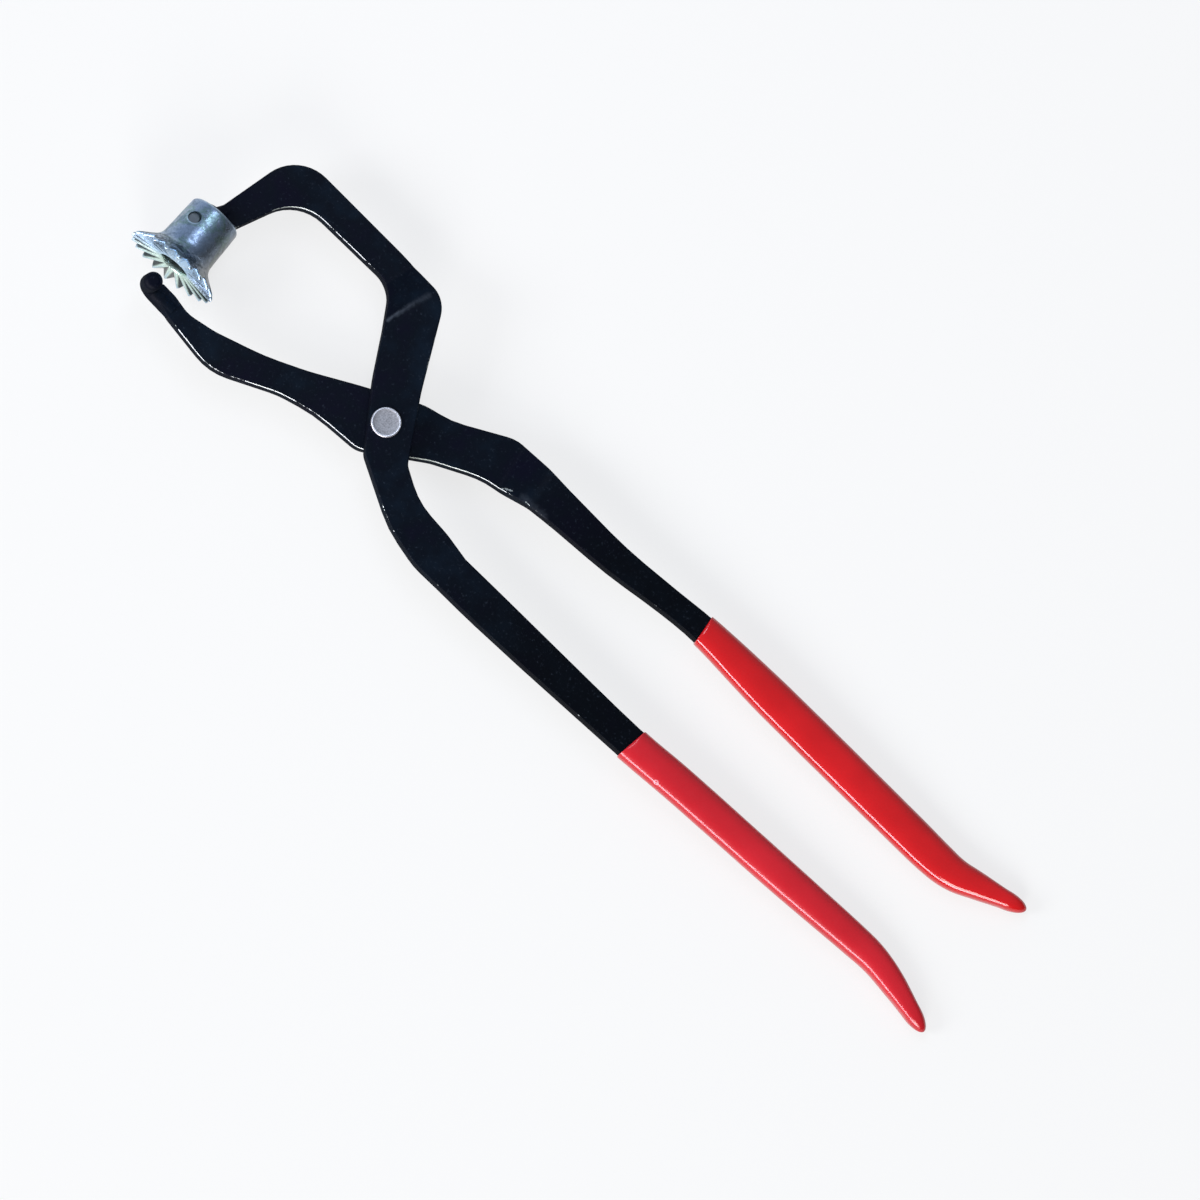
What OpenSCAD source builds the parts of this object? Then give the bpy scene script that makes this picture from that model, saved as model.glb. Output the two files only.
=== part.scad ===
// Brake spring pliers. Two flat steel levers cross at a rivet: the crown lever carries a swivelling
// toothed crown on a round stem, and the hook lever ends in a round finger that is bent up.
// X runs along the tool, from the jaws at -X to the grips at +X. Z is up, and the origin is on the
// rivet's axis, at the flat face of its lower head. The levers lie as they do when nearly closed.

/* [Bars] */
// Thickness of the steel bar of both levers
bar_t = 5; // [4.6:0.1:5.4]
// Inner radius of the bends where a bar steps into the other layer
bend_r = 3; // [1:0.5:4]
// Length over which a bar steps into the other layer
joggle_run = 10; // [8:0.5:12]
// Running gap between flat faces that slide on each other
face_gap = 0.05; // [0.02:0.01:0.1]

/* [Pivot rivet] */
// Diameter of the shank
rivet_d = 7; // [5:0.5:8]
// Diameter of the two heads
rivet_head_d = 9.4; // [8.6:0.2:10.4]
// Height of each head
rivet_head_h = 1; // [0.6:0.1:2]
// Radial clearance of the shank in the hook lever
rivet_fit = 0.05; // [0.02:0.01:0.1]

/* [Crown lever] */
// Height of the jaw's outer corner over the pivot, across the tool
jaw_top = 45; // [43:0.2:48]
// Width of the bar along the top of the jaw
jaw_w = 10.6; // [9:0.1:12]
// Width of the arm where it meets the stem
arm_w = 8; // [7.4:0.1:9]
// Width of the lever from the pivot to its edge on the handles' side
crown_eye_out = 9; // [8:0.1:11]
// Width of the lever from the pivot to its edge on the jaws' side
crown_eye_in = 5.6; // [5.5:0.1:7]
// Distance from the pivot to the end of the bar
crown_handle_l = 238; // [225:1:255]
// Width of the bar behind the pivot
crown_neck_w = 12; // [10:0.1:14]
// Width of the bar under the grip
crown_grip_bar_w = 9.4; // [8.4:0.1:11]

/* [Hook lever] */
// Width of the lever from the pivot to its edge on the jaws' side
hook_eye_in = 10; // [8:0.1:11]
// Width of the lever from the pivot to its edge on the handles' side
hook_eye_out = 8.4; // [7:0.1:10]
// Distance from the pivot to the end of the bar
hook_handle_l = 236; // [225:1:255]
// Width of the bar behind the pivot
hook_neck_w = 12.8; // [10:0.1:14]
// Width of the bar under the grip
hook_grip_bar_w = 10; // [8.4:0.1:11]

/* [Finger] */
// Distance of the finger's axis from the pivot, along the tool
finger_x = 81.3; // [78:0.1:84]
// Distance of the finger's axis from the pivot, across the tool
finger_y = 17.7; // [17:0.1:20]
// Diameter of the finger
finger_d = 5.9; // [5:0.1:6.4]
// Height of the finger over the bar's top face
finger_h = 8.5; // [6:0.5:12]
// Height of the finger's domed end
finger_dome = 1.9; // [0.5:0.1:2.5]
// Radius of the finger's bend, at its centreline
finger_bend_r = 3.6; // [3.3:0.1:4.2]
// Angle by which the finger leans back towards the pivot
finger_lean = 6; // [0:1:15]

/* [Crown] */
// Distance of the crown's socket end from the pivot, along the tool
crown_x = 80.9; // [78:0.1:84]
// Distance of the crown's socket end from the pivot, across the tool
crown_y = 12.9; // [12:0.1:16]
// Angle by which the crown's mouth leans towards the pivot
crown_lean = 2.5; // [0:0.5:4]
// Length of the crown from its socket end to its mouth
crown_l = 22; // [20:0.1:24]
// Diameter of the socket at its end
socket_d = 17.4; // [16.6:0.1:18]
// Diameter of the socket where the bell starts
socket_base_d = 18.2; // [18:0.1:19]
// Rounding of the socket's end
socket_round = 1.3; // [0.5:0.1:2]
// Radius of the hollow curve from the socket into the bell
bell_r = 5; // [3:0.1:6]
// Slope of the bell, from the axis
bell_angle = 52; // [46:1:56]
// Diameter of the rim
rim_d = 31.6; // [30:0.1:33]
// Thickness of the rim, before the grooves are cut
rim_t = 1.1; // [0.9:0.1:1.6]
// Diameter at which the dished mouth ends at the cup
dish_d = 10.6; // [10.5:0.1:14]
// Depth of the dished mouth
dish_depth = 1.4; // [1:0.1:2]
// Diameter of the cup inside the mouth
cup_d = 10; // [8:0.1:10.4]
// Depth of the cup, from the mouth
cup_depth = 7; // [5:0.1:8]
// Number of grooves cut across the mouth
groove_count = 20; // [14:1:24]
// Depth of a groove at the rim
groove_depth = 2.2; // [1.2:0.1:2.4]

/* [Stem and pin] */
// Diameter of the stem that the crown turns on
stem_d = 7; // [6:0.1:7.4]
// Radial clearance of the stem in the socket
stem_fit = 0.05; // [0.02:0.01:0.1]
// Diameter of the shoulder that the socket's end runs against
shoulder_d = 8.8; // [8:0.1:10]
// Thickness of that shoulder
shoulder_t = 1; // [0.8:0.1:2]
// Gap between the shoulder and the socket's end
shoulder_gap = 0.2; // [0.1:0.05:0.3]
// Diameter of the cross pin that keeps the crown on
pin_d = 4; // [3:0.1:4.4]
// Length of the cross pin
pin_l = 11; // [9:0.5:13]
// Distance of the pin's axis from the crown's axis
pin_offset = 4.5; // [4.3:0.1:4.8]
// Distance of the pin's axis from the socket's end
pin_z = 6.5; // [5:0.1:8]
// Clearance between the pin and the groove that it rides in
pin_gap = 0.15; // [0.1:0.05:0.3]

/* [Grips] */
// Thickness of the dipped coat over the bar's edges
grip_edge_t = 0.9; // [0.7:0.1:1.5]
// Thickness of the dipped coat over the bar's faces
grip_face_t = 1.5; // [1:0.1:2]
// Distance from the pivot to the start of the crown lever's grip
crown_grip_start = 120.4; // [100:0.1:140]
// Distance from the pivot to the start of the hook lever's grip
hook_grip_start = 113; // [100:0.1:140]
// Slant of the dip line at the start of each grip
grip_slant = 8; // [0:1:15]
// Length of the coat past the bar's end
nose_l = 8; // [4:0.5:12]
// Squareness of the grip's section, where 2 is an ellipse
grip_square = 3; // [2.6:0.1:4]

/* [Hidden] */

fn_round = 64;
arc_step = 9;
far = 400;

// Layers: the hook lever lies low at the pivot and the crown lever lies on it
low_z = rivet_head_h + face_gap;
high_z = low_z + bar_t + face_gap;
stack_top = high_z + bar_t;
low_mid = low_z + bar_t / 2;
high_mid = high_z + bar_t / 2;

// Directions of the two bars where they cross the pivot
crown_spine = -58;
hook_spine = 27;

// Where each bar starts its step into the other layer, and the direction that it steps in
crown_step_at = [-18.8, 32];
crown_step_dir = 168;
hook_step_at = [38.6, 17.5];
hook_step_dir = 10;

// Centreline of each handle behind the pivot: place along X, place along Y, width of the bar
crown_bar_end_w = 4;
hook_bar_end_w = 4.2;
crown_handle = [
    [46, -20.1, crown_neck_w],
    [62, -20.4, crown_neck_w],
    [90, -20.6, crown_neck_w - 1],
    [120, -20.5, crown_grip_bar_w + 0.4],
    [crown_handle_l - 96, -19.5, crown_grip_bar_w + 0.3],
    [crown_handle_l - 56, -18.5, crown_grip_bar_w - 0.1],
    [crown_handle_l - 28, -17.6, crown_grip_bar_w - 1.1],
    [crown_handle_l - 18, -17.7, crown_grip_bar_w - 2],
    [crown_handle_l - 9, -19.3, crown_grip_bar_w - 3.3],
    [crown_handle_l, -21.6, crown_bar_end_w]
];
hook_handle = [
    [48, 18, hook_neck_w],
    [60, 18.1, hook_neck_w - 1.7],
    [80, 18.3, hook_neck_w - 3.4],
    [100, 20, hook_grip_bar_w - 1.9],
    [116, 20.9, hook_grip_bar_w - 1.5],
    [hook_handle_l - 92, 20.1, hook_grip_bar_w + 0.6],
    [hook_handle_l - 40, 18.7, hook_grip_bar_w + 0.5],
    [hook_handle_l - 24, 18.3, hook_grip_bar_w],
    [hook_handle_l - 16, 18.8, hook_grip_bar_w - 1.2],
    [hook_handle_l - 9, 20.9, hook_grip_bar_w - 3],
    [hook_handle_l, 23.7, hook_bar_end_w]
];
// How far before the end each grip starts to thin towards its nose
tail_l = 20;

function flat(p) = [p[0], p[1]];
function unit(v) = v / norm(v);
function clamp(v, low, high) = min(high, max(low, v));
function sign_power(v, e) = sign(v) * pow(abs(v), e);

// A point given along and across a bar's direction at the pivot, with its corner radius
function spine_point(dir, along, across, r) = [
    along * cos(dir) - across * sin(dir),
    along * sin(dir) + across * cos(dir),
    r
];

// The arc that rounds corner b between its neighbours, limited to half of the shorter side
function corner_arc(a, b, c) =
    len(b) < 3 || b[2] == 0 ? [flat(b)] :
    let (
        u = unit(flat(a) - flat(b)),
        v = unit(flat(c) - flat(b)),
        half = acos(clamp(u * v, -1, 1)) / 2,
        side = min(norm(flat(a) - flat(b)), norm(flat(c) - flat(b))),
        reach = min(b[2] / tan(half), side * 0.48),
        r = reach * tan(half),
        mid = flat(b) + unit(u + v) * r / sin(half),
        from = flat(b) + u * reach - mid,
        to = flat(b) + v * reach - mid,
        start = atan2(from[1], from[0]),
        turn = atan2(from[0] * to[1] - from[1] * to[0], from * to),
        steps = max(2, ceil(abs(turn) / arc_step))
    )
    [for (i = [0 : steps]) mid + r * [cos(start + turn * i / steps), sin(start + turn * i / steps)]];

// A closed outline with every corner rounded by its own radius
function rounded(pts) = [
    for (i = [0 : len(pts) - 1])
        for (p = corner_arc(pts[(i + len(pts) - 1) % len(pts)], pts[i], pts[(i + 1) % len(pts)])) p
];

// Smooth curve through the stations of a handle, with its widths
smooth_steps = 3;
function spline(a, b, c, d, t) =
    (2 * b + (c - a) * t + (2 * a - 5 * b + 4 * c - d) * t * t
        + (3 * b - a - 3 * c + d) * t * t * t) / 2;
function smooth(s) = concat([
    for (i = [0 : len(s) - 2])
        for (k = [0 : smooth_steps - 1])
            spline(s[max(i - 1, 0)], s[i], s[i + 1], s[min(i + 2, len(s) - 1)], k / smooth_steps)
], [s[len(s) - 1]]);

// Direction of a curve at its point i, and its edge at half the bar's width to one side
function heading(c, i) = unit(flat(c[min(i + 1, len(c) - 1)]) - flat(c[max(i - 1, 0)]));
function edge(c, side) = [
    for (i = [0 : len(c) - 1])
        let (h = heading(c, i)) flat(c[i]) + side * c[i][2] / 2 * [-h[1], h[0]]
];
function reversed(v) = [for (i = [len(v) - 1 : -1 : 0]) v[i]];
// The bar's blunt end, with its two corners rounded
end_r = 1.4;
function with_end(e) = [for (i = [0 : len(e) - 1]) i == len(e) - 1 ? [e[i][0], e[i][1], end_r] : e[i]];

crown_curve = smooth(crown_handle);
hook_curve = smooth(hook_handle);

// The arm's foot lies beside the crown's axis, just clear of the socket. Its root is where the round
// neck ends in the flat bar.
arm_dx = 2.8;
arm_clear = 0.8;
arm_foot = [-crown_x + arm_dx, crown_y + arm_clear];
arm_root = arm_foot + [1.1, 7];

crown_outline = rounded(concat([
    [arm_foot[0] + arm_w / 2, arm_foot[1]],
    [arm_foot[0] - arm_w / 2, arm_foot[1]],
    [4.9 - crown_x, jaw_top, 13.4],
    [-28, jaw_top - 1.7, 60],
    [-12.4, jaw_top - 4.5, 10],
    spine_point(crown_spine, -11.5, crown_eye_out, 60),
    spine_point(crown_spine, 11.5, crown_eye_out, 5),
    [24, -11, 25],
    [37, -12.3, 30]
], with_end(edge(crown_curve, 1)), reversed(with_end(edge(crown_curve, -1))), [
    [36, -26, 25],
    [22.5, -22.9, 40],
    spine_point(crown_spine, 10.6, 1 - crown_eye_in, 6),
    spine_point(crown_spine, -12.7, -crown_eye_in - 0.6, 60),
    [-27.8, jaw_top - jaw_w - 0.6, 10],
    [14.8 - crown_x, jaw_top - jaw_w, 14.2]
]));

// The flat bar stops inside the round part that bends up into the finger
tip_x = 2.6;
tip_flat = 1.1;
hook_outline = rounded(concat([
    [tip_x - finger_x, -finger_y - tip_flat],
    [tip_x - finger_x, -finger_y + finger_d / 2 + 0.2, 1],
    [8.3 - finger_x, -finger_y + finger_d / 2, 8],
    [-66.5, -16.1, 12],
    [-57, -14.4, 25],
    [-41, -9.4, 80],
    [-28, -3.5, 80],
    spine_point(hook_spine, -10.4, hook_eye_in, 60),
    spine_point(hook_spine, 10.6, hook_eye_in, 20),
    [14, 15.6, 30],
    [33, 25.8, 12]
], with_end(edge(hook_curve, 1)), reversed(with_end(edge(hook_curve, -1))), [
    [33, 9.6, 30],
    spine_point(hook_spine, 17, -hook_eye_out + 2.2, 20),
    spine_point(hook_spine, -5.7, -hook_eye_out - 0.7, 8),
    [-18, -11.5, 50],
    [-30, -14.7, 30],
    [-50, -24.2, 20],
    [-70, -21.2, 8]
]));

// Side view of a bar that steps from one layer to the other, from x = 0 on
function step_side(from_z, to_z) =
    let (
        down = to_z < from_z,
        shift = bar_t * tan(atan(abs(to_z - from_z) / joggle_run) / 2),
        inner = bend_r,
        outer = bend_r + bar_t,
        top = down ? 0 : -shift,
        bottom = down ? -shift : 0
    )
    rounded([
        [-far, from_z + bar_t],
        [top, from_z + bar_t, down ? outer : inner],
        [top + joggle_run, to_z + bar_t, down ? inner : outer],
        [far, to_z + bar_t],
        [far, to_z],
        [bottom + joggle_run, to_z, down ? outer : inner],
        [bottom, from_z, down ? inner : outer],
        [-far, from_z]
    ]);

module stepped_bar(outline, at, dir, from_z, to_z) {
    intersection() {
        linear_extrude(height = stack_top + bar_t) polygon(outline);
        translate([at[0], at[1], 0]) rotate([0, 0, dir]) rotate([90, 0, 0])
            linear_extrude(height = far, center = true) polygon(step_side(from_z, to_z));
    }
}

module crown_bar() {
    stepped_bar(crown_outline, crown_step_at, crown_step_dir, high_z, low_z);
}

module hook_bar() {
    stepped_bar(hook_outline, hook_step_at, hook_step_dir, low_z, high_z);
}

// The crown's own frame: its axis is Z, from the socket's end towards the mouth
module at_crown() {
    translate([-crown_x, crown_y, low_mid]) rotate([0, 0, crown_lean]) rotate([90, 0, 0]) children();
}

// The stem ends just under the floor of the cup, and the pin rides in its groove
stem_r = stem_d / 2;
stem_recess = 0.6;
stem_l = crown_l - cup_depth - stem_recess;
pin_groove_r = pin_offset - pin_d / 2 - pin_gap;
pin_groove_half = pin_d / 2 + pin_gap;
stem_chamfer = 0.5;
module stem() {
    shoulder_r = shoulder_d / 2;
    rotate_extrude($fn = fn_round) polygon([
        [0, -shoulder_gap - shoulder_t],
        [shoulder_r, -shoulder_gap - shoulder_t],
        [shoulder_r, -shoulder_gap],
        [stem_r, -shoulder_gap],
        [stem_r, pin_z - pin_groove_half],
        [pin_groove_r, pin_z - pin_groove_half],
        [pin_groove_r, pin_z + pin_groove_half],
        [stem_r, pin_z + pin_groove_half],
        [stem_r, stem_l - stem_chamfer],
        [stem_r - stem_chamfer, stem_l],
        [0, stem_l]
    ]);
}

// The arm is drawn out round between the flat bar and the shoulder, with its foot a little beside
// the stem's axis and its root sunk in the bar
neck_dx = 0.7;
neck_thin = 0.6;
neck_sink = 0.2;
module drawn_neck() {
    root_r = bar_t / 2 - neck_sink;
    foot = [-crown_x + neck_dx, crown_y + shoulder_gap + shoulder_t / 2];
    run = arm_root - foot;
    translate([foot[0], foot[1], low_mid]) rotate([0, 0, atan2(run[1], run[0])]) rotate([0, 90, 0])
        cylinder(h = norm(run), r1 = stem_r - neck_thin, r2 = root_r, $fn = fn_round);
}

module crown_lever() {
    color([0.05, 0.07, 0.1]) difference() {
        union() {
            crown_bar();
            drawn_neck();
            at_crown() stem();
        }
        cylinder(h = far, d = rivet_d, center = true, $fn = fn_round);
    }
}

// The bar's end, drawn round, turned up and domed, and leant back a little: local X points past
// the tip
finger_dir = 176.5;
finger_reach = 11;
module finger() {
    r = finger_d / 2;
    bend_end_z = finger_bend_r * (1 + sin(finger_lean));
    rise = (finger_h + bar_t / 2 - bend_end_z) / cos(finger_lean) - finger_dome;
    translate([-finger_x, -finger_y, low_mid]) rotate([0, 0, finger_dir]) {
        translate([-finger_reach, 0, 0]) rotate([0, 90, 0])
            cylinder(h = finger_reach - finger_bend_r, r = r, $fn = fn_round);
        translate([-finger_bend_r, 0, finger_bend_r]) rotate([90, 0, 0]) rotate([0, 0, -90])
            rotate_extrude(angle = 90 + finger_lean, $fn = fn_round) translate([finger_bend_r, 0])
                circle(r = r, $fn = fn_round);
        translate([finger_bend_r * (cos(finger_lean) - 1), 0, bend_end_z]) rotate([0, -finger_lean, 0])
            rotate_extrude($fn = fn_round) polygon(concat(
                [[0, 0], [r, 0]],
                [for (a = [0 : arc_step : 90]) [
                    r - finger_dome + finger_dome * cos(a), rise + finger_dome * sin(a)
                ]],
                [[0, rise + finger_dome]]
            ));
    }
}

module hook_lever() {
    color([0.05, 0.07, 0.1]) difference() {
        union() {
            hook_bar();
            finger();
        }
        cylinder(h = far, r = rivet_d / 2 + rivet_fit, center = true, $fn = fn_round);
    }
}

rivet_round = 0.35;
module pivot_rivet() {
    shank = rivet_d / 2;
    head = rivet_head_d / 2;
    top = stack_top + rivet_head_h;
    color([0.58, 0.57, 0.6]) rotate_extrude($fn = fn_round) polygon(rounded([
        [0, 0],
        [head, 0, rivet_round],
        [head, rivet_head_h],
        [shank, rivet_head_h],
        [shank, stack_top],
        [head, stack_top],
        [head, top, rivet_round],
        [0, top]
    ]));
}

// Half section of the crown: the bell's hollow curve leaves the socket and ends in the sloped flare
cup_floor = crown_l - cup_depth;
bell_steps = 6;
module crown_body() {
    bore = stem_r + stem_fit;
    base = socket_base_d / 2;
    rim = rim_d / 2;
    flare_end = crown_l - rim_t;
    flare_in = base + bell_r * (1 - cos(bell_angle));
    bell_start = flare_end - (rim - flare_in) / tan(bell_angle) - bell_r * sin(bell_angle);
    curve = [for (k = [0 : bell_steps])
        let (a = bell_angle * k / bell_steps)
        [base + bell_r - bell_r * cos(a), bell_start + bell_r * sin(a)]];
    rim_round = 0.4;
    tooth_round = 0.2;
    cup_lip = 0.3;
    floor_slope = 0.8;
    rotate_extrude($fn = 96) polygon(concat(
        rounded([
            [bore, 0],
            [socket_d / 2, 0, socket_round],
            flat(curve[0])
        ]),
        curve,
        rounded([
            curve[bell_steps],
            [rim, flare_end, rim_round],
            [rim, crown_l, tooth_round],
            [dish_d / 2, crown_l - dish_depth],
            [cup_d / 2, crown_l - dish_depth - cup_lip],
            [cup_d / 2, cup_floor + floor_slope],
            [bore, cup_floor]
        ])
    ));
}

// A groove is a wedge cut outwards from the dish, with its edge nearly square to the axis
groove_in = 1;
groove_sink = 0.1;
module groove() {
    rim = rim_d / 2;
    start = dish_d / 2 - groove_in;
    foot = crown_l - dish_depth - groove_sink;
    end = crown_l - groove_depth;
    half = 180 / groove_count;
    open = 8;
    spread = open * rim * sin(half) / groove_depth;
    run = rim - start;
    past_rim = 4;
    translate([start, 0, foot]) rotate([0, 90 - atan2(end - foot, run), 0])
        linear_extrude(height = run + past_rim) polygon([[0, 0], [-open, spread], [-open, -spread]]);
}

module crown() {
    color([0.66, 0.72, 0.78]) at_crown() difference() {
        crown_body();
        for (i = [0 : groove_count - 1])
            rotate([0, 0, 360 * (i + 0.5) / groove_count]) groove();
        translate([-pin_offset, 0, pin_z]) rotate([90, 0, 0])
            cylinder(h = 2 * socket_d, d = pin_d, center = true, $fn = fn_round);
    }
}

module crown_pin() {
    r = pin_d / 2;
    chamfer = 0.3;
    color([0.4, 0.43, 0.46]) at_crown() translate([-pin_offset, pin_l / 2, pin_z]) rotate([90, 0, 0])
        rotate_extrude($fn = fn_round) polygon([
            [0, 0],
            [r - chamfer, 0],
            [r, chamfer],
            [r, pin_l - chamfer],
            [r - chamfer, pin_l],
            [0, pin_l]
        ]);
}

// A dipped grip: rings of a rounded section along the handle's curve, closed by a rounded nose
grip_sides = 24;
nose_rings = 5;
function ring(at, h, a, b) = [
    for (k = [0 : grip_sides - 1])
        let (
            t = 360 * k / grip_sides,
            u = a * sign_power(cos(t), 2 / grip_square),
            v = b * sign_power(sin(t), 2 / grip_square)
        )
        [at[0] - h[1] * u, at[1] + h[0] * u, high_mid + v]
];

module grip_form(curve, start) {
    last = len(curve) - 1;
    tail_x = curve[last][0] - tail_l;
    end_a = curve[last][2] / 2 + grip_edge_t;
    end_b = bar_t / 2 + grip_edge_t;
    end_h = heading(curve, last);
    rings = concat([
        for (i = [0 : last]) if (curve[i][0] > start - tail_l)
            let (thin = clamp((curve[i][0] - tail_x) / tail_l, 0, 1))
            ring(curve[i], heading(curve, i), curve[i][2] / 2 + grip_edge_t,
                bar_t / 2 + grip_face_t + (grip_edge_t - grip_face_t) * thin)
    ], [
        for (k = [1 : nose_rings])
            let (
                t = k / (nose_rings + 0.15),
                f = sqrt(1 - t * t)
            )
            ring(flat(curve[last]) + end_h * nose_l * t, end_h, end_a * f, end_b * f)
    ]);
    n = grip_sides;
    count = len(rings);
    polyhedron(
        points = [for (r = rings) for (p = r) p],
        faces = concat(
            [[for (k = [0 : n - 1]) k]],
            [for (i = [0 : count - 2]) for (k = [0 : n - 1])
                [i * n + k, (i + 1) * n + k, i * n + (k + 1) % n]],
            [for (i = [0 : count - 2]) for (k = [0 : n - 1])
                [(i + 1) * n + k, (i + 1) * n + (k + 1) % n, i * n + (k + 1) % n]],
            [[for (k = [n - 1 : -1 : 0]) (count - 1) * n + k]]
        )
    );
}

// Cuts a grip off at its dip line, which slants across the bar
module dip_cut(start, y, slant) {
    size = 60;
    translate([start, y, high_mid]) rotate([0, 0, slant])
        translate([-size, -size / 2, -size / 2]) cube(size);
}

module crown_lever_grip() {
    color([0.84, 0.15, 0.2]) difference() {
        grip_form(crown_curve, crown_grip_start);
        crown_bar();
        dip_cut(crown_grip_start, crown_handle[3][1], -grip_slant);
    }
}

module hook_lever_grip() {
    color([0.87, 0.11, 0.14]) difference() {
        grip_form(hook_curve, hook_grip_start);
        hook_bar();
        dip_cut(hook_grip_start, hook_handle[4][1], grip_slant);
    }
}

crown_lever();
hook_lever();
pivot_rivet();
crown();
crown_pin();
crown_lever_grip();
hook_lever_grip();
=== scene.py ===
import math

import bmesh
import bpy
from mathutils import Matrix, Vector, noise


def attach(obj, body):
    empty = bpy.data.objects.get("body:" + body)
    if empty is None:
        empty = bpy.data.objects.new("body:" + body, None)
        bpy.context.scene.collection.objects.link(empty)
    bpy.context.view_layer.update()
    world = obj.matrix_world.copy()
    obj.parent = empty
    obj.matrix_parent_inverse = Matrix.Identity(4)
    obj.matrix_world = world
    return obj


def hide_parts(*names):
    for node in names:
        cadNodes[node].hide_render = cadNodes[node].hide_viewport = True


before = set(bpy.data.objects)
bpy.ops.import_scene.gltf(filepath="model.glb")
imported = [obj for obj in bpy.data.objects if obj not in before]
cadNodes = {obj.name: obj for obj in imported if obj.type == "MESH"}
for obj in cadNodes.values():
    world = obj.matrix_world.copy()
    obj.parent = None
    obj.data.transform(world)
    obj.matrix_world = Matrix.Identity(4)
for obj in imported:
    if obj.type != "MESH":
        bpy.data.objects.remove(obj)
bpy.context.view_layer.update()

# Brake spring pliers. The levers, crown, rivet, pin and grips are dressed here at the places that
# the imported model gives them. All sizes below are in millimetres unless a name says otherwise.

scene = bpy.context.scene
mm = 0.001


def linearColour(hexCode):
    # sRGB hex to the linear values that the sockets take
    parts = [int(hexCode[i:i + 2], 16) / 255 for i in (1, 3, 5)]
    return tuple(c / 12.92 if c <= 0.04045 else ((c + 0.055) / 1.055) ** 2.4
                 for c in parts) + (1.0,)


def addNode(tree, kind, settings=None, links=None):
    # a text key that the node has as a property sets it, and any other key is a socket. Hex values
    # turn to linear colours here, and a linked node stands for its first output.
    node = tree.nodes.new("ShaderNode" + kind)
    for key, value in (settings or {}).items():
        if key == "ramp":
            while len(node.color_ramp.elements) < len(value):
                node.color_ramp.elements.new(0.5)
            for element, (place, colour) in zip(node.color_ramp.elements, value):
                element.position = place
                element.color = linearColour(colour)
        elif isinstance(key, str) and hasattr(node, key):
            setattr(node, key, value)
        else:
            isHex = isinstance(value, str) and value.startswith("#")
            node.inputs[key].default_value = linearColour(value) if isHex else value
    for key, source in (links or {}).items():
        tree.links.new(getattr(source, "outputs", [source])[0], node.inputs[key])
    return node


def newMaterial(name):
    material = bpy.data.materials.new(name)
    material.use_nodes = True
    material.node_tree.nodes.clear()
    return material, material.node_tree


def finishMaterial(tree, height, relief, shader, links):
    # the relief, shader and output that every piece's finish ends with
    strength, depth = relief
    bump = addNode(tree, "Bump", {"Strength": strength, "Distance": depth * mm}, {"Height": height})
    surface = addNode(tree, "BsdfPrincipled", shader, {"Normal": bump, **links})
    addNode(tree, "OutputMaterial", {}, {"Surface": surface})


def perMetre(sizeInMm):
    # texture scale for features of that size, in object coordinates
    return 1000 / sizeInMm


def clamped(value):
    return min(1.0, max(0.0, value))


def rising(value, start, length):
    # 0 up to the start, 1 from that length on
    return clamped((value - start) / length)


def between(start, end, count):
    # even steps up to the end, without the start
    return [start + (end - start) * i / count for i in range(1, count + 1)]


def arcPoints(r, z, radius, degrees):
    # points round a centre, as distance from the axis and height
    return [(r + radius * math.cos(math.radians(a)), z + radius * math.sin(math.radians(a)))
            for a in degrees]


def addObject(name, data):
    thing = bpy.data.objects.new(name, data)
    scene.collection.objects.link(thing)
    return thing


def standAt(thing, place, right, up, towards):
    # a camera or lamp looks against its third direction
    thing.matrix_world = Matrix.Translation(place) @ \
        Matrix((right, up, towards)).transposed().to_4x4()


def finishPiece(piece, material, body, replaced):
    piece.data.materials.clear()
    piece.data.materials.append(material)
    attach(piece, body)
    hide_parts(replaced)


def makePiece(name, points, faces, material, body, replaced):
    mesh = bpy.data.meshes.new(name)
    mesh.from_pydata([tuple(c * mm for c in p) for p in points], [], faces)
    mesh.update()
    piece = addObject(name, mesh)
    finishPiece(piece, material, body, replaced)
    return piece


def shadeSmooth(piece, sharpAngle):
    piece.data.shade_smooth()
    piece.data.set_sharp_from_angle(angle=math.radians(sharpAngle))


def applyModifiers(piece):
    bpy.context.view_layer.update()
    evaluated = piece.evaluated_get(bpy.context.evaluated_depsgraph_get())
    mesh = bpy.data.meshes.new_from_object(evaluated)
    piece.modifiers.clear()
    piece.data = mesh


def ringFaces(ringCount, sideCount):
    # quads between rings of points that all have the same number of sides
    return [(i * sideCount + k, i * sideCount + (k + 1) % sideCount,
             (i + 1) * sideCount + (k + 1) % sideCount, (i + 1) * sideCount + k)
            for i in range(ringCount - 1) for k in range(sideCount)]


# The photograph looks down on the tool, leaning 13.6 degrees, and turned 43 degrees.
cameraSettings = {
    "mmPerPixel": 0.304,
    "imagePixels": 1200,
    "tilt": 13.6,
    "turn": 43.08,
    "originPixel": (380.2, 429.1),
    "distance": 4.0,              # metres
    "measuredAt": 8.0,            # the scale holds at the height of the levers' top faces
    "sensor": 36.0,
    "farthest": 50,               # metres
}


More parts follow.
